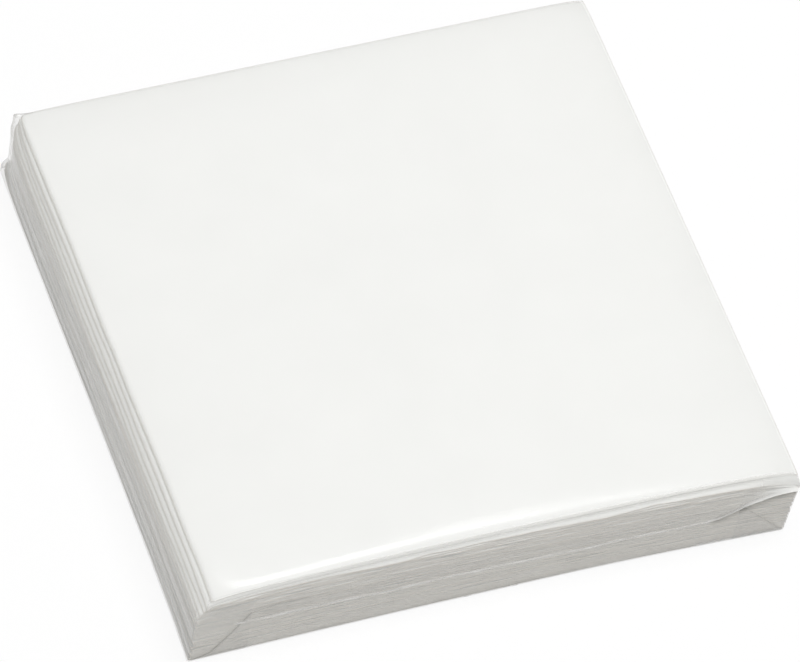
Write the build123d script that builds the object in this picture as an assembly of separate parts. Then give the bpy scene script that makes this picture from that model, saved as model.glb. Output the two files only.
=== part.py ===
from build123d import *
import os

# A pack of quarter-folded paper napkins in a clear film overwrap, in millimetres.
# The origin is the middle of the underside, +X right, +Y to the back, +Z up.

# Napkin: one square sheet of three-ply tissue, folded in half twice
sheet_side = 330.0
napkin_count = 20
leaf = 0.27
leaf_gap = 0.05
crease = 0.14
leaf_stagger = 1.2
leg_stagger = 0.8

# Stack: every second napkin stands a little proud on the folded left side
proud = 0.35
drift_front = 0.25
drift_period = 5

# Film: one clear sheet made into a tube, its two ends closed by parcel folds
film = 0.12
side_room = 0.5
end_room = 0.35
edge_radius = 0.45
seam_lap = 15.0
overhang = 15.0

# Sizes that follow from those above
folded_side = sheet_side / 2
half_side = folded_side / 2
leaf_pair = 2 * leaf + leaf_gap
fold_reach = leaf_pair + leaf_gap / 2
napkin_height = 2 * fold_reach
stack_base = 2 * film
stack_height = napkin_count * napkin_height
tube_height = stack_base + stack_height + film
tube_half_width = half_side + proud + side_room + film
end_plane = half_side + drift_front + end_room


def folded_once():
    """Section of the sheet after its first fold: two leaves joined by a pressed crease at the front."""
    inner_end = folded_side - leaf_stagger
    outline = Polyline(
        (crease, 0),
        (inner_end, 0),
        (inner_end, leaf),
        (leaf, leaf),
        (leaf, leaf + leaf_gap),
        (folded_side, leaf + leaf_gap),
        (folded_side, leaf_pair),
        (crease, leaf_pair),
        (0, leaf_pair - crease),
        (0, crease),
        close=True,
    )
    return Plane.YZ * Pos(0, leaf_gap / 2) * make_face(outline)


def napkin():
    """The once-folded sheet carried round the second fold, with that fold along the left."""
    section = folded_once()
    upper_leg = folded_side - fold_reach
    lower_leg = upper_leg - leg_stagger
    upper = extrude(section, amount=upper_leg, dir=(1, 0, 0))
    turn = revolve(section, axis=Axis.Y, revolution_arc=-180)
    lower = extrude(section.rotate(Axis.Y, 180), amount=lower_leg, dir=(1, 0, 0))
    corner = Pos(fold_reach - half_side, -half_side, fold_reach)
    return corner * (upper + turn + lower)


def napkin_place(index):
    """Where one napkin lies: each rests on the one below, and they never line up exactly."""
    across = proud if index % 2 else -proud
    along = drift_front * ((2 * index) % drift_period - 2) / 2
    return Pos(across, along, stack_base + index * napkin_height)


def film_tube():
    """The film round the top, sides and underside, open at both ends."""
    width = 2 * tube_half_width
    outside = RectangleRounded(width, tube_height, edge_radius + film)
    inside = RectangleRounded(width - 2 * film, tube_height - 2 * film, edge_radius)
    ring = Plane.XZ * Pos(0, tube_height / 2) * (outside - inside)
    return extrude(ring, amount=end_plane, both=True)


def film_seam():
    """The inner lap of the lengthwise seam, under the stack."""
    lap = Box(seam_lap, 2 * end_plane, film, align=(Align.CENTER, Align.CENTER, Align.MIN))
    return Pos(0, 0, film) * lap


def end_panel(outline, inner, outer):
    """Film lying against the front end, between two layers counted outwards from the napkins."""
    near = Plane.XZ.offset(end_plane + inner * film)
    return extrude(near * outline, amount=(outer - inner) * film)


def tuck(side):
    """A side of the tube pushed in flat against the napkins."""
    outline = Rectangle(overhang, tube_height - 2 * edge_radius)
    middle = side * (tube_half_width - overhang / 2)
    return end_panel(Pos(middle, tube_height / 2) * outline, 0, 1)


def flap(base_z, upwards, layer):
    """A flap with ends that slope at 45 degrees, and the hem that carries it out to its layer."""
    wide = tube_half_width - edge_radius
    narrow = wide - overhang
    tip_z = base_z + upwards * overhang
    hem_z = base_z + upwards * film
    outline = Polyline((-wide, base_z), (wide, base_z), (narrow, tip_z), (-narrow, tip_z), close=True)
    hem = Polyline((-wide, base_z), (wide, base_z), (wide, hem_z), (-wide, hem_z), close=True)
    return end_panel(make_face(outline), layer, layer + 1) + end_panel(make_face(hem), 0, layer)


def film_end():
    """Side tucks first, then the bottom flap, then the top flap sealed over it."""
    return tuck(-1) + tuck(1) + flap(0, 1, 1) + flap(tube_height, -1, 2)


def film_wrap():
    """The whole wrap as one piece: the tube, its seam and the two folded ends."""
    front = film_end()
    return film_tube() + film_seam() + front + front.rotate(Axis.Z, 180)


os.makedirs("parts", exist_ok=True)
folded = napkin()
for index in range(napkin_count):
    export_step(napkin_place(index) * folded, f"parts/napkin_{index + 1:02d}.step")
export_step(film_wrap(), "parts/film_wrap.step")
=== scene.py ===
import bmesh
import bpy
import math
import numpy as np
from mathutils import Euler, Matrix, Vector


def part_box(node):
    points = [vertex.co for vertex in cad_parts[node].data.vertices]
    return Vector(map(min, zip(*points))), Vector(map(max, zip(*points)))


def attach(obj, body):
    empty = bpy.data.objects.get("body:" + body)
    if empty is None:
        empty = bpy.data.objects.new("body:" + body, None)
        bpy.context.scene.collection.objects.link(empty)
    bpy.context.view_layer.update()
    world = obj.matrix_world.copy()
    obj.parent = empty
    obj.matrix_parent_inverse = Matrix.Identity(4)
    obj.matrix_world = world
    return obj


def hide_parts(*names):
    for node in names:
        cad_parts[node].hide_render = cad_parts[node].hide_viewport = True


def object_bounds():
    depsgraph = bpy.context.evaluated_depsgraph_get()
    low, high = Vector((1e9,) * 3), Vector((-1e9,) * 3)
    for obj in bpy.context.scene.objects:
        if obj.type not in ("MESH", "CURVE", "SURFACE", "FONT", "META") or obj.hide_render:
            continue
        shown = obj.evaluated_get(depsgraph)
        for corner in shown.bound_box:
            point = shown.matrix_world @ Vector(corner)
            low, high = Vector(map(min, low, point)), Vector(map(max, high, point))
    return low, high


# A pack of quarter-folded paper napkins in a clear film overwrap.
# Shapes are worked out in millimetres and go to the meshes in metres.

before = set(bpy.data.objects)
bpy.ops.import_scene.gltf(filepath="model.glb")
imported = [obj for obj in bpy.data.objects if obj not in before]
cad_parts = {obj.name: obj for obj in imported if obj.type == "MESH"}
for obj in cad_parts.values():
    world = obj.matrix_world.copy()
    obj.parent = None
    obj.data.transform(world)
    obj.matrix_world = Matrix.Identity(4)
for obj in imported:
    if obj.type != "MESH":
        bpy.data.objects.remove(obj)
cadLow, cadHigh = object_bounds()
mm = 0.001
napkinNodes = sorted(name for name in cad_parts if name.startswith("napkin"))
napkinBoxes = [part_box(name) for name in napkinNodes]
topNapkin = len(napkinNodes) - 1
halfWidth = cadHigh.x / mm
halfDepth = cadHigh.y / mm
packHeight = cadHigh.z / mm
napkinHeight = (napkinBoxes[0][1].z - napkinBoxes[0][0].z) / mm
print("frame loaded:", len(napkinNodes), "napkins, pack", round(2 * halfWidth, 2), "mm wide")

# How the whole pack has settled: it leans in on the left and front, and its top edges round over
packShape = {
    "leanFront": 4.35,  # top napkins step in on the left, at the front and at the back
    "leanBack": 3.75,
    "leanStart": 0.8,  # share of the height where the steps start
    "leanSoft": 0.025,
    "rightLean": 0.15,
    "frontLean": (0.6, -1.0),  # at its left and right ends
    "backLean": 0.5,
    "overTop": 1.05,  # leaning goes on this far above the top, as a share of the height
    "leftOut": 0.36,  # feet of the left and front sides stand out a little
    "leftOutFade": 8.0,  # but not at the back left corner
    "frontOut": 0.65,
    "footOut": 1.2,  # right end of the front foot
    "footRun": (25.0, 60.0, 1.3),  # where that starts across, over how much it grows, and how late
    "cornerOut": 1.3,  # front right corner leans out at the top and in at the foot
    "cornerIn": 1.3,
    "cornerSize": (10.0, 6.0),  # how far that reaches across and along
    "leftFoot": 1.0,  # front left corner stands out at the foot
    "leftFootSize": (8.0, 20.0),
    "frontBow": (0.5, 0.6),  # front stands back in its middle, at the foot and further at the top
    "frontDrop": (1.0, 2.5),  # fall of the top at an edge, and how far in it reaches
    "frontTurn": (0.6, 0.9),
    "backDrop": (0.8, 2.2),
    "leftDrop": (0.25, 1.2),
    "rightDrop": (0.7, 2.4),
    "cornerDrop": (1.2, 3.2, 0.6, 0.3),  # front left, front right, back right, back left
    "cornerReach": 7.0,
    "tightEnds": ((75.0, 0.34), (70.0, 0.55)),  # front edge turns more sharply near its two ends
    "unevenness": 0.08,
    "unevenWave": (11, 90.0),  # seed and longest wave
    "pinch": 2.2,  # back left corner is drawn in above its foot
    "pinchRise": (2.5, 3.5),  # height where that starts, and over how much it grows
    "pinchSize": (8.0, 5.0),
    "pinchLean": (2.4, 6.0),  # it steps in less at the top, and how far along
    "sway": 0.3,  # layers wander up and down along the left and the front
    "swayWaves": ((17, 130.0), (18, 150.0)),
    "swayFade": 6,
}
waveTighter = 0.8  # each wave of a ripple is shorter and lower than the one before
waveLower = 0.5
waveLevel = 1.8


def smooth(t):
    t = np.clip(t, 0, 1)
    return t * t * (3 - 2 * t)


def ramp(value, start, run):
    # 0 up to the start, then a soft rise to 1
    return smooth((value - start) / run)


def fade(inset, reach):
    # 1 at an edge and outside it, less further in
    return np.exp(-np.clip(inset, 0, None) / reach)


def bell(away, width):
    return np.exp(-(away / width) ** 2)


def ripple(t, seed, longest, count=4):
    # soft uneven line between about -1 and 1, the same on every run
    draws = np.random.default_rng(seed)
    total = np.zeros_like(np.asarray(t, float))
    for step in range(count):
        turns = t * (1 + waveTighter * step) / longest
        shift = draws.uniform(0, 2 * np.pi)
        total = total + np.sin(2 * np.pi * turns + shift) / (1 + waveLower * step)
    return total / waveLevel


def topFall(x, y):
    # how far the top of the pack has sunk at a place
    left = np.clip(x + halfWidth, 0, None)
    right = np.clip(halfWidth - x, 0, None)
    front = np.clip(y + halfDepth - packShape["frontOut"], 0, None)
    back = np.clip(halfDepth - y, 0, None)
    tight = 1
    for inset, (reach, least) in zip((left, right), packShape["tightEnds"]):
        tight = tight * (least + (1 - least) * smooth(inset / reach))
    uneven = 1 + packShape["unevenness"] * ripple(x, *packShape["unevenWave"])
    drop, reach = packShape["frontDrop"]
    fall = drop * uneven * tight * fade(front, reach * tight)
    edges = {"frontTurn": front, "backDrop": back, "leftDrop": left, "rightDrop": right}
    for name, inset in edges.items():
        drop, reach = packShape[name]
        fall = fall + drop * fade(inset, reach)
    corners = ((left, front), (right, front), (right, back), (left, back))
    for drop, (across, along) in zip(packShape["cornerDrop"], corners):
        fall = fall + drop * fade(across + along, packShape["cornerReach"])
    return fall


def settle(points):
    # carries square-cut points to where they lie in the settled pack
    x, y, z = points[..., 0], points[..., 1], points[..., 2]
    fromLeft, fromRight = x + halfWidth, halfWidth - x
    fromFront, fromBack = y + halfDepth, halfDepth - y
    across = np.clip(fromLeft / (2 * halfWidth), 0, 1)
    along = np.clip(fromFront / (2 * halfDepth), 0, 1)
    up = np.clip(z / packHeight, 0, packShape["overTop"])

    # left and right: steps at the top, drawn-in back corner, feet and front corners
    lean = packShape["leanFront"] + (packShape["leanBack"] - packShape["leanFront"]) * along
    less, reach = packShape["pinchLean"]
    lean = lean - less * fade(fromBack, reach)
    start, soft = packShape["leanStart"], packShape["leanSoft"]
    steps = soft * np.logaddexp(0, (up - start) / soft) / (1 - start)
    newX = x + lean * steps * (1 - across) - packShape["rightLean"] * up * across
    sizeX, sizeY = packShape["pinchSize"]
    pressed = ramp(z, *packShape["pinchRise"]) * fade(fromBack, sizeY) * fade(fromLeft, sizeX)
    newX = newX + packShape["pinch"] * pressed
    newX = newX - packShape["leftOut"] * (1 - across) * (1 - fade(fromBack, packShape["leftOutFade"]))
    sizeX, sizeY = packShape["cornerSize"]
    corner = np.minimum(np.exp(-fromFront / sizeY) * fade(fromRight, sizeX), 1)
    newX = newX + (packShape["cornerOut"] * up - packShape["cornerIn"] * (1 - up)) * corner
    sizeX, sizeY = packShape["leftFootSize"]
    leftCorner = fade(fromFront, sizeY) * fade(fromLeft, sizeX)
    newX = newX - packShape["leftFoot"] * (1 - up) ** 2 * leftCorner

    # front and back: bowed front, slanting ends and foot
    bowLow, bowHigh = packShape["frontBow"]
    bow = (bowLow + bowHigh * up ** 2) * (1 - (x / halfWidth) ** 2)
    leanLeft, leanRight = packShape["frontLean"]
    slant = (leanLeft + (leanRight - leanLeft) * across ** 2) * up
    start, run, late = packShape["footRun"]
    foot = packShape["footOut"] * np.clip((x - start) / run, 0, 1) ** late * (1 - up)
    newY = y + (bow + slant - packShape["frontOut"] - foot) * (1 - along)
    newY = newY - packShape["backLean"] * up * along

    # up and down: sunk top edges and wandering layers, most at half height
    leftWave, frontWave = packShape["swayWaves"]
    wander = ripple(y, *leftWave) * (1 - across) ** packShape["swayFade"]
    wander = wander + ripple(x, *frontWave) * (1 - along) ** packShape["swayFade"]
    newZ = z - topFall(x, y) * up ** 2 + packShape["sway"] * 4 * up * (1 - up) * wander
    return np.stack([newX, newY, newZ], axis=-1)


def gridFaces(rows, columns, first=0):
    corner = first + np.arange(rows - 1)[:, None] * columns + np.arange(columns - 1)[None, :]
    quads = np.stack([corner, corner + 1, corner + columns + 1, corner + columns], axis=-1)
    return quads.reshape(-1, 4).tolist()


def makePiece(name, points, faces):
    mesh = bpy.data.meshes.new(name)
    mesh.from_pydata((points.reshape(-1, 3) * mm).tolist(), [], faces)
    mesh.polygons.foreach_set("use_smooth", [True] * len(mesh.polygons))
    mesh.update()
    piece = bpy.data.objects.new(name, mesh)
    bpy.context.scene.collection.objects.link(piece)
    return piece


# Napkins: a square sheet folded in half to the front, then in half again to the left
napkinShape = {
    "sheet": 330.0,
    "leaf": 0.25,
    "leftRoom": 0.15,  # from the outside of the pack to the left folds, right edges and the rest
    "rightRoom": 0.1,
    "edgeRoom": 0.5,
    "legShort": 0.4,  # lower leg and inner leaf stop short of the upper and outer ones
    "leafShort": 1.2,
    "looseEdge": 0.35,
    "looseSeed": 700,
    "ridgeDepth": 0.35,  # every second napkin stands proud along the left, below the steps
    "stepped": 5,  # napkins in the steps at the top
    "topFrontBack": (1.5, 1.4),  # front folds of the top napkin lie back, lower and upper leg
    "topFrontTurn": 0.5,  # and further back towards the right
    "topLeftBack": 0.3,  # front part of its left fold too
    "topLeftRun": (-30.0, 60.0),  # how far back that starts, and over how much it grows
    "cornerTuck": (1.1, 0.7),  # back left corner lies in from the film
    "tuckSize": 4.0,
    "lowest": (3, 0.2),  # how many lie straightest at the bottom, and their share of the waves
    "topmost": (4, 1.6),  # how many wander most at the top
    "leftWaves": ((0.12, 400, 150.0), (0.08, 440, 60.0)),  # depth, seed and longest wave
    "edgeWave": 0.16,  # depth of the waves along the front
    "frontWave": (500, 55.0, 5),  # seed, longest wave and count
    "topFrontWave": (0.3, 540, 70.0),  # share of the depth, seed and longest wave
    "fineSteps": (0.5, 1.2, 2.2, 3.6, 5.6, 8.4, 12.0),
    "coarseStep": 7.0,
    "turnSteps": 7,
    "creasePress": 0.45,  # first and second folds pressed flatter than a half round
    "turnPress": 0.9,
}


def edgeSamples(length):
    fine = np.array(napkinShape["fineSteps"])
    count = int((length - 2 * fine[-1]) / napkinShape["coarseStep"])
    middle = np.linspace(fine[-1], length - fine[-1], count + 1)[1:-1]
    return np.concatenate([[0], fine, middle, (length - fine)[::-1], [length]])


def foldRun(samples):
    # distance from a fold and turn angle, from one open edge round the fold to the other
    quarter = np.pi / 2
    turn = np.linspace(-quarter, quarter, napkinShape["turnSteps"])[1:-1]
    flat = np.full(len(samples), quarter)
    distance = np.concatenate([samples[::-1], np.zeros(len(turn)), samples])
    return distance, np.concatenate([-flat, turn, flat])


def edgeLoose(index):
    # share of the waves that a napkin's edges take
    lowCount, lowShare = napkinShape["lowest"]
    topCount, topShare = napkinShape["topmost"]
    if index < lowCount:
        return lowShare
    return topShare if topNapkin - index < topCount else 1.0


def leftSetBack(index, y):
    depth = 0.0
    if index == topNapkin:
        depth = napkinShape["topLeftBack"] * ramp(-y, *napkinShape["topLeftRun"])
    elif topNapkin - index >= napkinShape["stepped"] and index % 2:
        depth = napkinShape["ridgeDepth"]
    for wave, seed, longest in napkinShape["leftWaves"]:
        depth = depth + edgeLoose(index) * wave * (1 + ripple(y, seed + index, longest))
    return depth


def frontSetBack(index, leg, x):
    depth = napkinShape["edgeWave"]
    if index == topNapkin:
        share, seed, longest = napkinShape["topFrontWave"]
        lieBack = napkinShape["topFrontBack"][leg] + napkinShape["topFrontTurn"] * x / halfWidth
        return lieBack + share * depth * (1 + ripple(x, seed, longest))
    seed, longest, count = napkinShape["frontWave"]
    return edgeLoose(index) * depth * (1 + ripple(x, seed + 2 * index + leg, longest, count))


def napkinPoints(index):
    draws = np.random.default_rng(napkinShape["looseSeed"] + index)
    rightGap, backGap = draws.uniform(0, napkinShape["looseEdge"], 2)
    side = napkinShape["sheet"] / 2
    run, turn = foldRun(edgeSamples(side))
    leafPitch = napkinHeight / 4
    creaseRadius = leafPitch / 2
    reach = (leafPitch + creaseRadius * np.sin(turn))[:, None]
    upper = ((1 + np.sin(turn)) / 2)[None, :]
    outer = ((1 + np.sin(turn)) / 2)[:, None]
    room = napkinShape["edgeRoom"]
    leftRoom = napkinShape["leftRoom"]
    rightRoom = napkinShape["rightRoom"] + rightGap
    width = 2 * halfWidth - leftRoom - rightRoom - napkinShape["legShort"] * (1 - upper)
    depth = 2 * (halfDepth - room) - backGap - napkinShape["leafShort"] * (1 - outer)
    turnPress = napkinShape["turnPress"]
    foldX = 2 * leafPitch * turnPress - halfWidth + leftRoom
    foldY = creaseRadius - halfDepth + room
    fromLeft = (run / side)[None, :]
    fromFront = (run / side)[:, None]
    x = foldX - turnPress * reach * np.cos(turn)[None, :]
    x = x + fromLeft * (width - 2 * leafPitch * turnPress)
    press = napkinShape["creasePress"] * creaseRadius
    y = foldY - press * np.cos(turn)[:, None] + fromFront * (depth - creaseRadius) + 0 * x
    middle = (napkinBoxes[index][0].z + napkinBoxes[index][1].z) / 2 / mm
    z = middle + reach * np.sin(turn)[None, :] + 0 * x
    setBack = frontSetBack(index, 0, x) * (1 - upper) + frontSetBack(index, 1, x) * upper
    tuckX, tuckY = napkinShape["cornerTuck"]
    tuckSize = napkinShape["tuckSize"]
    tucked = fade(x + halfWidth, tuckSize) * fade(halfDepth - y, tuckSize)
    newX = x + leftSetBack(index, y) * (1 - fromLeft) + tuckX * tucked
    newY = y + setBack * (1 - fromFront) - tuckY * tucked
    return np.stack([newX, newY, z], axis=-1)


def makeNapkin(index, tissue):
    points = settle(napkinPoints(index))
    rows, columns = points.shape[:2]
    piece = makePiece(f"foldedNapkin{index + 1:02d}", points, gridFaces(rows, columns))
    thicken = piece.modifiers.new("paperThickness", "SOLIDIFY")
    thicken.thickness = napkinShape["leaf"] * mm
    thicken.offset = 0
    piece.data.materials.append(tissue)
    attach(piece, "root")
    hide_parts(napkinNodes[index])
    return piece


# Film: a clear sheet made into a tube, its ends closed by tucks and two flaps.
# A side of -1 is the front end and 1 the back, and a hand of -1 is the left and 1 the right.
filmShape = {
    "flat": (399.0, 197.0),
    "overhang": 15.0,
    "seamLap": 15.0,
    "seamRise": 0.1,
    "topRoom": 0.06,
    "layers": (83.1, 83.2, 83.3),  # end planes of tuck, bottom flap and top flap
    "carry": 6.0,  # how soon a flap comes out to its own plane
    "frontRound": (2.0, 1.4),  # reach and fall where the top turns down
    "backRound": (1.2, 0.9),
    "leftRound": (0.9, 0.9),
    "rightRound": (1.6, 1.4),
    "bottomRound": 0.25,
    "cornerRound": 0.6,
    # edges of the top flap and of the bottom flap, as places across and up
    "frontHem": (
        (-72, 13.0), (-45, 12.0), (50, 11.3), (58, 11.6),
        (62, 13.4), (68.6, 17.8), (76.3, 20.9), (83, 23.2),
    ),
    "backHem": ((-70, 10.6), (70, 10.4)),
    "frontTongue": ((-68, 16.6), (-60, 17.8), (-35, 15.6), (72, 15.4)),
    "backTongue": ((-68, 15.2), (68, 15.0)),
    "hemEnds": {-1: (11.0, 0.0), 1: (13.0, 13.0)},  # narrowing of the top flap at left and right
    # narrowing of the bottom flap: foot and tip at the left, then at the right
    "tongueEnds": {-1: (3.4, 14.8, 0.0, 13.8), 1: (0.0, 15.0, 0.0, 15.0)},
    "tongueFoot": 8.0,  # how soon the bottom flap has narrowed at its foot
    "looseEnd": 1.0,  # right end of the front hem stands off
    "looseRun": (54.0, 16.0),  # where that starts across, and over how much it grows
    "looseRise": (0.3, 0.7),  # and the same down the flap
    "hemFlare": 0.3,  # last part of the hem stands off too
    "hemFlareRun": (0.88, 0.12),
    "hemWave": 0.3,
    "hemWaves": {-1: (19, 48.0, 5), 1: (21, 48.0, 5)},  # seed, longest wave and count
    "wrinkle": 0.07,
    "wrinkleSeeds": {-1: 60, 1: 80},
    "wrinkleSlants": ((2.2, 47.0), (-3.1, 31.0)),  # slant and longest wave
    "peak": (3.2, 0.3, 3.0),  # film points out, back and up at the back left corner of the top
    "peakSize": (1.4, 1.4, 3.0),
    # white marks, from 0 for clear film to 1 for white: haze where the film is stretched and creased,
    # and painted light and painted highlights at its edges and folds and over shaded lines
    "softMark": 0.7,  # painted light: white along the front and left edges of the top, lightening the shaded lines there
    "softLine": (81.75, 0.45),  # place and width
    "softLeft": (0.4, 0.4, 0.4),  # share, place and width
    "facetMark": 0.75,  # painted highlight on the folds of the film at the front right corner of the top
    "facetRuns": ((66.0, 16.0), (19.5, 1.5)),  # start and growth, across and up
    "facetDepth": 2.0,
    "hemPatches": (0.45, 0.3, 0.1, 0.8),  # painted highlight along the hems, where their edges catch the light: middle, spread, least and most
    "patchWaves": {-1: (23, 17.0, 6), 1: (25, 17.0, 6)},
    # painted highlight along the loose right end of the front hem
    "looseMark": 0.9,
    "paintedHemLight": ((0.85, 62.0, 10.0, 1.1), (0.28, 44.0, 30.0, 6.0)),  # painted light along and above the loose right end of the front hem: mark, start, growth, width
    "backMark": (0.6, 0.5, 1.0),  # painted highlight on the upright edges at the back: mark, width along and across
    "stepMark": 0.25,  # painted light on the film over the stepped-in napkins on the left, lightening their shaded steps
    "stepRun": (18.5, 2.0),
    "cornerMark": 0.26,  # painted light on the loose film at the front left corner
    "cornerRuns": ((64.0, 14.0), (4.0, 12.0), (21.0, 2.0)),  # growth across and up, and its end
    "cornerDepth": 0.5,
    "seamMark": 0.6,
    # shade marks, from 0 for none to 1 for darkest
    "footShade": (0.34, 1.2),  # strength and width
    "edgeShade": (0.6, 0.6),  # back and right edges of the top
    "wideShade": (0.02, 0.06, 0.06),  # left, right and back of the top
    "wideReach": 8.0,
    "leftShade": 0.2,  # low on the left
    "leftShadeRun": (14.0, 4.0),
    "tongueShade": (0.65, 0.7),  # sides of the bottom flap, half as much on the right
    "tipShade": (0.15, 0.3, -52.0),  # its tip, and how much more to the left of a place
    "tipRows": 2,
    "onSide": 2.0,  # marks of the left side start this far from its ends
    "frontDepth": 5.0,
    # lines on the front end: start and end across and up, width, strength
    "frontShades": (
        (87.0, 21.9, 68.6, 15.0, 1.7, 0.7),
        (68.6, 15.0, 62.0, 11.4, 1.5, 0.7),
        (-64.0, 15.6, -56.0, 18.0, 1.3, 0.18),
    ),
    # painted glints on the bottom flap near its foot
    "frontGlints": ((-69.2, -0.3, -67.0, 2.2, 0.5, 0.8), (58.0, 0.5, 84.0, 0.3, 1.0, 0.8)),
    # how finely the film is divided
    "columns": 110,
    "rows": 64,
    "roundSteps": {"front": 13, "back": 9, "sides": 7, "bottom": 5},
    "ease": (0.6, 1.6, 3.0, 5.0, 7.5),
    "bottomEase": (0.25, 0.6, 1.4),
    "sideSteps": (0.8, 33, 21),  # share of the height where rows get finer, rows below and above
    "flapStart": 0.03,
    "flapBody": (0.07, 0.91, 18),
    "hemSteps": (0.94, 0.96, 0.98, 1.0),
    # painted highlight on the last rows of a hem
    "hemMarks": (0.3, 0.8, 1.0, 1.0),
    "seamGrid": (40, 7),
    "joinWithin": 0.005,
}
tuckPlane, tonguePlane, hemPlane = filmShape["layers"]
topZ = packHeight - filmShape["topRoom"]
flapBody = np.linspace(*filmShape["flapBody"])
flapSteps = np.concatenate([[filmShape["flapStart"]], flapBody, filmShape["hemSteps"]])[:, None]


def roundTurn(place):
    return np.linspace(0, np.pi / 2, filmShape["roundSteps"][place])


def roundedIn(size, inset):
    # almost a quarter round, so that the last row keeps some slope
    return size * (1 - np.sqrt(1 - 0.999 * inset ** 2))


def easedMiddle(first, last, count, ease):
    # even places between two ends, with closer ones near each end
    ease = np.array(ease)
    middle = np.linspace(first, last, count)[1:-1]
    return np.sort(np.concatenate([middle, first + ease, last - ease]))


def sleeveRows():
    # places along the pack from back to front, and what the film does there
    frontTurn, backTurn = roundTurn("front"), roundTurn("back")
    frontReach, frontFall = filmShape["frontRound"]
    backReach, backFall = filmShape["backRound"]
    frontY = frontReach * (1 - np.sin(frontTurn)) - tuckPlane
    backY = tuckPlane - backReach * (1 - np.sin(backTurn))
    middle = easedMiddle(frontY[0], backY[0], filmShape["rows"], filmShape["ease"])[::-1]
    y = np.concatenate([backY[::-1], middle, frontY])
    backFall = backFall * (1 - np.cos(backTurn))
    frontFall = frontFall * (1 - np.cos(frontTurn))
    corner = filmShape["cornerRound"]
    inset = np.clip((np.abs(y) - tuckPlane + corner) / corner, 0, 1)
    columns = {
        "y": y,
        "fall": np.concatenate([backFall[::-1], 0 * middle, frontFall]),
        "rise": roundedIn(filmShape["bottomRound"], inset),
        "edge": halfWidth - roundedIn(corner, inset),
    }
    return {name: column[:, None] for name, column in columns.items()}


sleevePlan = sleeveRows()


def acrossTop():
    # places across the top, from -1 to 1, with the fall at the two long edges
    turn = roundTurn("sides")
    reachL, fallL = filmShape["leftRound"]
    reachR, fallR = filmShape["rightRound"]
    leftX = -halfWidth + reachL * (1 - np.sin(turn))
    rightX = halfWidth - reachR * (1 - np.sin(turn))
    middle = easedMiddle(leftX[0], rightX[0], filmShape["columns"], filmShape["ease"])
    x = np.concatenate([leftX[::-1], middle, rightX])
    drop = 1 - np.cos(turn)
    return x / halfWidth, np.concatenate([fallL * drop[::-1], 0 * middle, fallR * drop])


def acrossBottom():
    turn = roundTurn("bottom")
    edge = halfWidth - filmShape["bottomRound"] * (1 - np.sin(turn))
    middle = easedMiddle(-edge[0], edge[0], filmShape["columns"], filmShape["bottomEase"])
    lift = filmShape["bottomRound"] * (1 - np.cos(turn))
    share = np.concatenate([-edge[::-1], middle, edge]) / halfWidth
    return share, np.concatenate([lift[::-1], 0 * middle, lift])


def lineMarks(x, z, lines):
    mark = np.zeros_like(x)
    for startX, startZ, endX, endZ, width, strength in lines:
        spanX, spanZ = endX - startX, endZ - startZ
        along = ((x - startX) * spanX + (z - startZ) * spanZ) / (spanX ** 2 + spanZ ** 2)
        along = np.clip(along, 0, 1)
        away = np.hypot(x - startX - along * spanX, z - startZ - along * spanZ)
        mark = np.maximum(mark, strength * bell(away, width))
    return mark


def paintedFacetHighlight(x, y, z):
    # painted highlight: white on the folds of the film at the front right corner of the top, where
    # they catch the light
    acrossRun, upRun = filmShape["facetRuns"]
    grown = ramp(x, *acrossRun) * ramp(z, *upRun)
    return filmShape["facetMark"] * grown * (y < filmShape["facetDepth"] - halfDepth)


def footShade(z):
    strength, width = filmShape["footShade"]
    return strength * bell(z, width)


def outline(x, points):
    return np.interp(x, [point[0] for point in points], [point[1] for point in points])


def narrowed(share, left, right):
    return share * (halfWidth - filmShape["cornerRound"] - np.where(share < 0, left, right))


def endSheet(x, z, plane, side, lift=0.0):
    # film lying on an end of the pack, wrinkled and carried out to its own plane
    creases = 1
    for step, (slant, longest) in enumerate(filmShape["wrinkleSlants"]):
        creases = creases + ripple(x + slant * z, filmShape["wrinkleSeeds"][side] + step, longest) / 2
    far = plane + filmShape["wrinkle"] * np.clip(creases, 0, None) + lift
    carry = smooth(filmShape["carry"] * flapSteps)
    y = side * (tuckPlane * (1 - carry) + far * carry)
    return np.stack([x, y, z], axis=-1)


def withEnds(back, sleeve, front):
    # joins a sleeve and its two flaps, each a grid of points with its haze and shade marks
    return [np.concatenate([b[::-1], s, f]) for b, s, f in zip(back, sleeve, front)]


def topFlap(side, share, sideFall, edgeFall):
    t = flapSteps
    left, right = filmShape["hemEnds"][side]
    x = narrowed(share, t * left, t * right)
    edgeZ = topZ - sideFall * (1 - smooth(t)) - edgeFall
    hemX = x[-1:]
    hemZ = outline(hemX, filmShape["frontHem" if side < 0 else "backHem"])
    hemZ = hemZ + filmShape["hemWave"] * ripple(hemX, *filmShape["hemWaves"][side])
    z = edgeZ - t * (edgeZ - hemZ)
    loose = ramp(x, *filmShape["looseRun"]) * ramp(t, *filmShape["looseRise"]) * (side < 0)
    lift = filmShape["looseEnd"] * loose + filmShape["hemFlare"] * ramp(t, *filmShape["hemFlareRun"])
    flap = endSheet(x, z, hemPlane, side, lift)
    # painted highlight along the hem, in patches, fullest at the loose right end of the front hem
    middle, spread, least, most = filmShape["hemPatches"]
    patchy = np.clip(middle + spread * ripple(hemX, *filmShape["patchWaves"][side]), least, most)
    hemMarks = np.array(filmShape["hemMarks"])[:, None]
    hem = slice(-len(hemMarks), None)
    white = np.zeros(x.shape)
    white[hem] = hemMarks * np.maximum(patchy, filmShape["looseMark"] * loose[hem])
    if side < 0:
        above = (1 - t) * (edgeZ - hemZ)
        # painted light above the loose right end of the front hem
        for mark, start, run, width in filmShape["paintedHemLight"]:
            white = np.maximum(white, mark * ramp(x, start, run) * bell(above, width))
        white = np.maximum(white, paintedFacetHighlight(x, flap[..., 1], z))
    return flap, white, np.zeros(x.shape)


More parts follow.
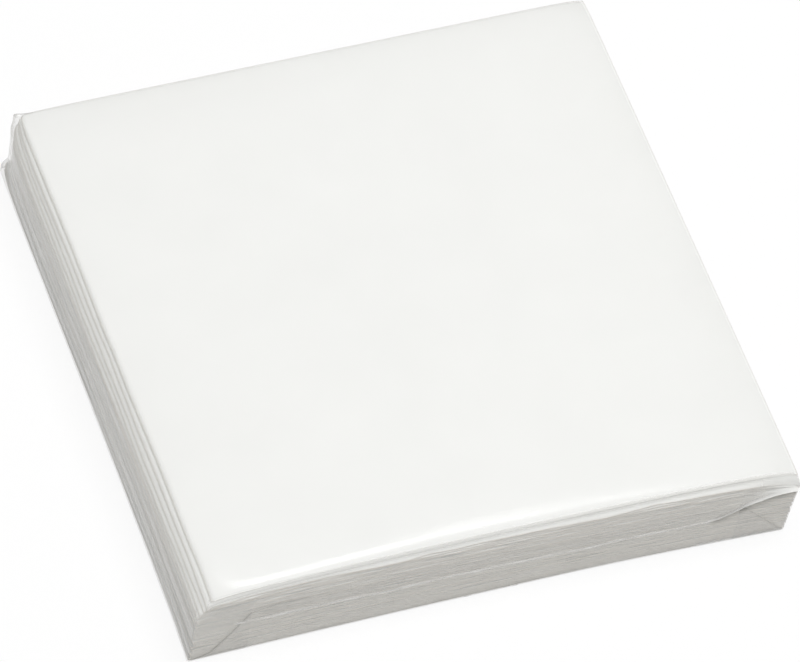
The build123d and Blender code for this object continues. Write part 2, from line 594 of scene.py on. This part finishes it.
def topStrip():
    share, sideFall = acrossTop()
    x = share * sleevePlan["edge"]
    y = sleevePlan["y"] + 0 * x
    z = topZ - sideFall - sleevePlan["fall"]
    # painted light: white bands over the shaded lines along the front and left edges of the top
    line, width = filmShape["softLine"]
    fromLine = y + line - napkinShape["topFrontTurn"] * x / halfWidth
    leftShare, leftLine, leftWidth = filmShape["softLeft"]
    leftEdge = leftShare * bell(x + halfWidth - leftLine, leftWidth)
    white = filmShape["softMark"] * np.maximum(bell(fromLine, width), leftEdge)
    white = np.maximum(white, paintedFacetHighlight(x, y, z))
    strength, width = filmShape["edgeShade"]
    shade = strength * np.minimum(bell(y - tuckPlane, width) + bell(x - halfWidth, width), 1)
    insets = (halfWidth + x, halfWidth - x, tuckPlane - y)
    for strength, inset in zip(filmShape["wideShade"], insets):
        shade = shade + strength * fade(inset, filmShape["wideReach"])
    sleeve = np.stack([x, y, z], axis=-1), white, shade
    back = topFlap(1, share, sideFall, sleevePlan["fall"][0])
    front = topFlap(-1, share, sideFall, sleevePlan["fall"][-1])
    return withEnds(back, sleeve, front)


def bottomFlap(side, share, sideRise):
    t = flapSteps
    footL, tipL, footR, tipR = filmShape["tongueEnds"][side]
    early = smooth(filmShape["tongueFoot"] * t)
    left = footL * early + t * (tipL - footL)
    right = footR * early + t * (tipR - footR)
    x = narrowed(share, left, right)
    startZ = sideRise * (1 - smooth(t)) + sleevePlan["rise"][0]
    tipZ = outline(x[-1:], filmShape["frontTongue" if side < 0 else "backTongue"])
    z = startZ + t * (tipZ - startZ)
    strength, width = filmShape["tongueShade"]
    shade = strength * bell(halfWidth - np.abs(share) * halfWidth, width) + 0 * t
    shade = np.where(share < 0, shade, shade / 2)
    tip = slice(-filmShape["tipRows"], None)
    tipShade, more, place = filmShape["tipShade"]
    shade[tip] = np.maximum(shade[tip], tipShade + more * (x[tip] < place))
    shade = np.maximum(shade, footShade(z))
    white = np.zeros(x.shape)
    if side < 0:
        shade = np.maximum(shade, lineMarks(x, z, filmShape["frontShades"]))
        # painted glints near the foot of the front bottom flap
        white = lineMarks(x, z, filmShape["frontGlints"])
    return endSheet(x, z, tonguePlane, side), white, shade


def bottomStrip():
    share, sideRise = acrossBottom()
    x = share * sleevePlan["edge"]
    grid = np.stack([x, sleevePlan["y"] + 0 * x, sideRise + sleevePlan["rise"]], axis=-1)
    sleeve = grid, np.zeros(x.shape), np.zeros(x.shape)
    return withEnds(bottomFlap(1, share, sideRise), sleeve, bottomFlap(-1, share, sideRise))


def sideMarks(x, y, z, hand):
    # painted highlight on the upright corner edges at the back
    strength, along, across = filmShape["backMark"]
    white = strength * bell(y - tuckPlane, along) * bell(np.abs(x) - halfWidth, across)
    onFront = y < filmShape["frontDepth"] - halfDepth
    shade = np.where(onFront, lineMarks(x, z, filmShape["frontShades"]), 0)
    shade = np.maximum(shade, footShade(z))
    if hand > 0:
        return np.maximum(white, paintedFacetHighlight(x, y, z)), shade
    onSide = smooth((tuckPlane - np.abs(y)) / filmShape["onSide"])
    low = 1 - ramp(z, *filmShape["leftShadeRun"])
    shade = np.maximum(shade, filmShape["leftShade"] * onSide * low)
    # painted light over the shaded steps of the napkins on the left
    stepped = onSide * ramp(z, *filmShape["stepRun"])
    white = np.maximum(white, filmShape["stepMark"] * stepped)
    # painted light on the loose film at the front left corner
    acrossRun, upRun, endRun = filmShape["cornerRuns"]
    corner = ramp(-x, *acrossRun) * ramp(z, *upRun) * (1 - ramp(z, *endRun))
    corner = corner * (y < filmShape["cornerDepth"] - tuckPlane)
    return np.maximum(white, filmShape["cornerMark"] * corner), shade


def sideStrip(hand):
    shoulder = filmShape["leftRound" if hand < 0 else "rightRound"][1]
    low = filmShape["bottomRound"] + sleevePlan["rise"]
    high = topZ - shoulder - sleevePlan["fall"]
    finer, below, above = filmShape["sideSteps"]
    share = np.concatenate([np.linspace(0, finer, below), np.linspace(finer, 1, above)[1:]])
    z = low + share * (high - low)
    sleeve = np.stack([hand * sleevePlan["edge"] + 0 * z, sleevePlan["y"] + 0 * z, z], axis=-1)
    tucks = []
    for side, row in ((1, 0), (-1, -1)):
        inset = filmShape["cornerRound"] + flapSteps * filmShape["overhang"]
        tuckX = hand * (halfWidth - inset) + 0 * share
        tuckZ = low[row] + share * (high[row] - low[row]) + 0 * flapSteps
        tucks.append(endSheet(tuckX, tuckZ, tuckPlane, side))
    grid = np.concatenate([tucks[0][::-1], sleeve, tucks[1]])
    if hand > 0:
        grid = grid[:, ::-1]
    white, shade = sideMarks(grid[..., 0], grid[..., 1], grid[..., 2], hand)
    return grid, white, shade


def seamStrip():
    # the lap along the middle of the underside
    rowCount, columnCount = filmShape["seamGrid"]
    y = np.linspace(tuckPlane, -tuckPlane, rowCount)[:, None]
    x = np.linspace(-0.5, 0.5, columnCount)[None, :] * filmShape["seamLap"] + 0 * y
    grid = np.stack([x, y + 0 * x, filmShape["seamRise"] + 0 * x], axis=-1)
    white = np.zeros(x.shape)
    white[:, [0, -1]] = filmShape["seamMark"]
    return grid, white, np.zeros(x.shape)


def standOff(points):
    # loose film points out at the back left corner of the top
    x, y, z = points[..., 0], points[..., 1], points[..., 2]
    sizeX, sizeY, sizeZ = filmShape["peakSize"]
    away = np.abs(x + halfWidth) / sizeX + np.abs(tuckPlane - y) / sizeY + (packHeight - z) / sizeZ
    beak = np.exp(-away)
    out, back, up = filmShape["peak"]
    return np.stack([x - out * beak, y + back * beak, z + up * beak], axis=-1)


def makeFilm(clearFilm):
    points, faces, whites, shades = [], [], [], []
    first = 0
    for grid, white, shade in (topStrip(), bottomStrip(), sideStrip(-1), sideStrip(1), seamStrip()):
        points.append(settle(standOff(grid)).reshape(-1, 3))
        whites.append(white.reshape(-1))
        shades.append(shade.reshape(-1))
        faces += gridFaces(*white.shape, first)
        first += white.size
    piece = makePiece("filmWrap", np.concatenate(points), faces)
    for name, marks in (("whiteMark", whites), ("shadeMark", shades)):
        mark = piece.data.attributes.new(name, "FLOAT", "POINT")
        mark.data.foreach_set("value", np.concatenate(marks).astype(np.float32))
    work = bmesh.new()
    work.from_mesh(piece.data)
    bmesh.ops.remove_doubles(work, verts=work.verts, dist=filmShape["joinWithin"] * mm)
    work.to_mesh(piece.data)
    work.free()
    piece.data.materials.append(clearFilm)
    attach(piece, "root")
    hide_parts("film_wrap")
    return piece


# Materials
mixFactor, mixLow, mixHigh, mixOut = 0, 6, 7, 2  # colour sockets of a Mix node


def newMaterial(name):
    material = bpy.data.materials.new(name)
    material.use_nodes = True
    material.node_tree.nodes.clear()
    return material, material.node_tree


def feed(tree, socket, value):
    # another node's output is linked, a number or colour is set
    if isinstance(value, bpy.types.NodeSocket):
        tree.links.new(value, socket)
    else:
        socket.default_value = value


def addNode(tree, kind, **values):
    node = tree.nodes.new(kind)
    for name, value in values.items():
        feed(tree, node.inputs[name.replace("_", " ")], value)
    return node


def mathNode(tree, operation, *values):
    node = tree.nodes.new("ShaderNodeMath")
    node.operation = operation
    for socket, value in zip(node.inputs, values):
        feed(tree, socket, value)
    return node.outputs[0]


def mixColour(tree, factor, low, high, blend="MIX"):
    node = tree.nodes.new("ShaderNodeMix")
    node.data_type = "RGBA"
    node.blend_type = blend
    for place, value in ((mixFactor, factor), (mixLow, low), (mixHigh, high)):
        feed(tree, node.inputs[place], value)
    return node.outputs[mixOut]


def mixShader(tree, factor, first, second):
    node = tree.nodes.new("ShaderNodeMixShader")
    for socket, value in zip(node.inputs, (factor, first, second)):
        feed(tree, socket, value)
    return node.outputs[0]


def uprightShare(tree, level, steep, most):
    # nothing on level surfaces, most on upright ones
    normal = addNode(tree, "ShaderNodeNewGeometry").outputs["Normal"]
    height = addNode(tree, "ShaderNodeSeparateXYZ", Vector=normal).outputs["Z"]
    share = addNode(tree, "ShaderNodeMapRange", From_Min=level, From_Max=steep, To_Max=most)
    feed(tree, share.inputs["Value"], mathNode(tree, "ABSOLUTE", height))
    return share.outputs["Result"]


def stretchedPlace(tree, stretch):
    place = addNode(tree, "ShaderNodeTexCoord").outputs["Object"]
    return addNode(tree, "ShaderNodeMapping", Vector=place, Scale=stretch).outputs["Vector"]


tissueLook = {
    "roughness": 0.95,
    "specular": 0.12,
    "whites": ((0.885, 0.888, 0.868, 1), (0.925, 0.928, 0.908, 1)),
    "cloud": {"Scale": 45.0, "Detail": 3.0},
    "fibre": {"Scale": 2600.0, "Detail": 4.0, "Roughness": 0.6},
    "fibreBump": {"Strength": 0.25, "Distance": 0.0001},
    "edgeStretch": (300.0, 300.0, 2000.0),  # streaks along the folded edges
    "edgeStreak": {"Scale": 1.0, "Detail": 3.0, "Roughness": 0.6},
    "edgeTints": ((0.35, (0.9, 0.862, 0.82, 1)), (0.65, (1, 0.96, 0.915, 1))),
    "edgeUpright": (0.85, 0.3, 1.0),
}


def tissueMaterial():
    material, tree = newMaterial("napkinTissue")
    place = addNode(tree, "ShaderNodeTexCoord").outputs["Object"]
    cloud = addNode(tree, "ShaderNodeTexNoise", Vector=place, **tissueLook["cloud"])
    white = mixColour(tree, cloud.outputs["Fac"], *tissueLook["whites"])
    along = stretchedPlace(tree, tissueLook["edgeStretch"])
    streak = addNode(tree, "ShaderNodeTexNoise", Vector=along, **tissueLook["edgeStreak"])
    tint = addNode(tree, "ShaderNodeValToRGB", Fac=streak.outputs["Fac"])
    for stop, (position, colour) in zip(tint.color_ramp.elements, tissueLook["edgeTints"]):
        stop.position = position
        stop.color = colour
    upright = uprightShare(tree, *tissueLook["edgeUpright"])
    colour = mixColour(tree, upright, white, tint.outputs["Color"], "MULTIPLY")
    fibre = addNode(tree, "ShaderNodeTexNoise", Vector=place, **tissueLook["fibre"])
    bump = addNode(tree, "ShaderNodeBump", Height=fibre.outputs["Fac"], **tissueLook["fibreBump"])
    paper = addNode(tree, "ShaderNodeBsdfPrincipled", Base_Color=colour, Normal=bump.outputs["Normal"])
    paper.inputs["Roughness"].default_value = tissueLook["roughness"]
    paper.inputs["Specular IOR Level"].default_value = tissueLook["specular"]
    addNode(tree, "ShaderNodeOutputMaterial", Surface=paper.outputs["BSDF"])
    return material


filmLook = {
    "roughness": 0.15,
    "gloss": (5.0, 0.96, 0.04),  # how late it rises, at a glance and head on
    "hazeAndPaintedLightColour": (0.97, 0.972, 0.952, 1),
    "hazeAndPaintedLight": (0.85, 0.02),  # share of the white marks, which hold haze and painted light, and haze everywhere
    "tint": (0.68, 0.675, 0.66, 1),  # film seen at a glance, greyer: painted shade standing in for the darker reflections of film seen edge-on
    "tintRise": 3.0,
    "shade": (0.58, 0.575, 0.56, 1),  # film under the shade marks
    "crinkleStretch": (22.0, 22.0, 260.0),  # long soft crinkles on upright film
    "crinkle": {"Scale": 1.0, "Detail": 2.0, "Roughness": 0.5},
    "crinkleHeight": 0.0025,
    "crinkleUpright": (0.5, 0.2, 0.3),
}
plainWhite = (1, 1, 1, 1)


def vertexMark(tree, name):
    node = addNode(tree, "ShaderNodeAttribute")
    node.attribute_name = name
    return node.outputs["Fac"]


def filmMaterial():
    material, tree = newMaterial("clearFilm")
    along = stretchedPlace(tree, filmLook["crinkleStretch"])
    crinkle = addNode(tree, "ShaderNodeTexNoise", Vector=along, **filmLook["crinkle"])
    bump = addNode(tree, "ShaderNodeBump", Height=crinkle.outputs["Fac"])
    bump.inputs["Distance"].default_value = filmLook["crinkleHeight"]
    feed(tree, bump.inputs["Strength"], uprightShare(tree, *filmLook["crinkleUpright"]))
    normal = bump.outputs["Normal"]
    glance = addNode(tree, "ShaderNodeLayerWeight", Blend=0.5, Normal=normal).outputs["Facing"]
    # painted shade: the film is greyer where it is seen at a glance
    grey = mathNode(tree, "POWER", glance, filmLook["tintRise"])
    tint = mixColour(tree, grey, plainWhite, filmLook["tint"])
    tint = mixColour(tree, vertexMark(tree, "shadeMark"), tint, filmLook["shade"])
    clear = addNode(tree, "ShaderNodeBsdfTransparent", Color=tint).outputs[0]
    # white diffuse layer: the film's haze, and painted light and painted highlights where the white
    # marks are strong
    hazeAndPaintedLight = addNode(tree, "ShaderNodeBsdfDiffuse", Color=filmLook["hazeAndPaintedLightColour"]).outputs[0]
    hazeAndPaintedLightShare = mathNode(tree, "MULTIPLY_ADD", vertexMark(tree, "whiteMark"), *filmLook["hazeAndPaintedLight"])
    late, steep, level = filmLook["gloss"]
    shine = mathNode(tree, "MULTIPLY_ADD", mathNode(tree, "POWER", glance, late), steep, level)
    gloss = addNode(tree, "ShaderNodeBsdfGlossy", Color=plainWhite, Normal=normal)
    gloss.inputs["Roughness"].default_value = filmLook["roughness"]
    whole = mixShader(tree, shine, mixShader(tree, hazeAndPaintedLightShare, clear, hazeAndPaintedLight), gloss.outputs[0])
    addNode(tree, "ShaderNodeOutputMaterial", Surface=whole)
    return material


# Studio: white floor, one large lamp overhead, a small one for the highlight, soft light all round
studio = {
    "floorSize": 8.0,
    "floorDrop": 0.2,  # millimetres below the pack
    "floorBounce": 0.88,
    "floorShown": 1.0,
    "floorGlow": 0.88,  # share of the shown floor that is plain white, so its shadow stays light
    "lampPlace": (0.35, -0.05, 2.0),
    "lampSize": (1.4, 0.94),
    "lampPower": 27.5,
    "stripPlace": (0.48, 0.73, 2.0),
    "stripSize": (0.36, 0.4),
    "stripPower": 2.5,
    "roundLight": 0.4,
    "backdrop": 1.0,
}


def seenDirectly(tree):
    # 1 for rays that show the background itself, 0 for rays that light the object
    path = addNode(tree, "ShaderNodeLightPath").outputs
    seen = mathNode(tree, "MAXIMUM", path["Is Camera Ray"], path["Is Glossy Ray"])
    return mathNode(tree, "MAXIMUM", seen, path["Is Transmission Ray"])


def greyOf(level):
    return (level, level, level, 1)


def makeLamp(name, place, size, power):
    data = bpy.data.lights.new(name, "AREA")
    data.shape = "RECTANGLE"
    data.size, data.size_y = size
    data.energy = power
    lamp = bpy.data.objects.new(name, data)
    lamp.location = place
    bpy.context.scene.collection.objects.link(lamp)
    return lamp


def floorMaterial():
    material, tree = newMaterial("floorPaper")
    seen = seenDirectly(tree)
    shown = mixColour(tree, seen, greyOf(studio["floorBounce"]), greyOf(studio["floorShown"]))
    matt = addNode(tree, "ShaderNodeBsdfDiffuse", Color=shown)
    glow = addNode(tree, "ShaderNodeEmission", Strength=1.0)
    share = mathNode(tree, "MULTIPLY", seen, studio["floorGlow"])
    both = mixShader(tree, share, matt.outputs[0], glow.outputs[0])
    addNode(tree, "ShaderNodeOutputMaterial", Surface=both)
    return material


def makeStudio():
    half = studio["floorSize"] / 2 / mm
    turns = ((-1, -1), (1, -1), (1, 1), (-1, 1))
    corners = np.array([[half * x, half * y, -studio["floorDrop"]] for x, y in turns])
    floor = makePiece("floor", corners, [(0, 1, 2, 3)])
    floor.data.materials.append(floorMaterial())
    world = bpy.data.worlds.new("softRoom")
    bpy.context.scene.world = world
    world.use_nodes = True
    sky = world.node_tree
    light, shown = greyOf(studio["roundLight"]), greyOf(studio["backdrop"])
    feed(sky, sky.nodes["Background"].inputs["Color"], mixColour(sky, seenDirectly(sky), light, shown))
    lamp = makeLamp("overheadLamp", studio["lampPlace"], studio["lampSize"], studio["lampPower"])
    lamp.visible_glossy = False
    strip = makeLamp("stripLamp", studio["stripPlace"], studio["stripSize"], studio["stripPower"])
    strip.visible_diffuse = False


# Camera
cameraView = {
    "azimuth": -27.21,
    "elevation": 52.74,
    "roll": 9.986,
    "aim": (0.00026, -0.00488, 0.0125),
    "distance": 1.9907,
    "lens": 335.44,
    "farthest": 50,
}


def makeCamera():
    azimuth = math.radians(cameraView["azimuth"])
    elevation = math.radians(cameraView["elevation"])
    turned = Euler((math.pi / 2 - elevation, 0, azimuth)).to_matrix()
    turned = turned @ Matrix.Rotation(math.radians(cameraView["roll"]), 3, "Z")
    data = bpy.data.cameras.new("camera")
    data.lens = cameraView["lens"]
    data.clip_end = cameraView["farthest"]
    camera = bpy.data.objects.new("camera", data)
    place = Vector(cameraView["aim"]) + turned @ Vector((0, 0, cameraView["distance"]))
    camera.matrix_world = Matrix.Translation(place) @ turned.to_4x4()
    bpy.context.scene.collection.objects.link(camera)
    bpy.context.scene.camera = camera


bpy.context.scene.view_settings.view_transform = "Standard"
makeCamera()
makeStudio()
print("camera and studio made")

tissue = tissueMaterial()
for index in range(len(napkinNodes)):
    makeNapkin(index, tissue)
print("napkins folded:", len(napkinNodes))

makeFilm(filmMaterial())
print("film wrapped")
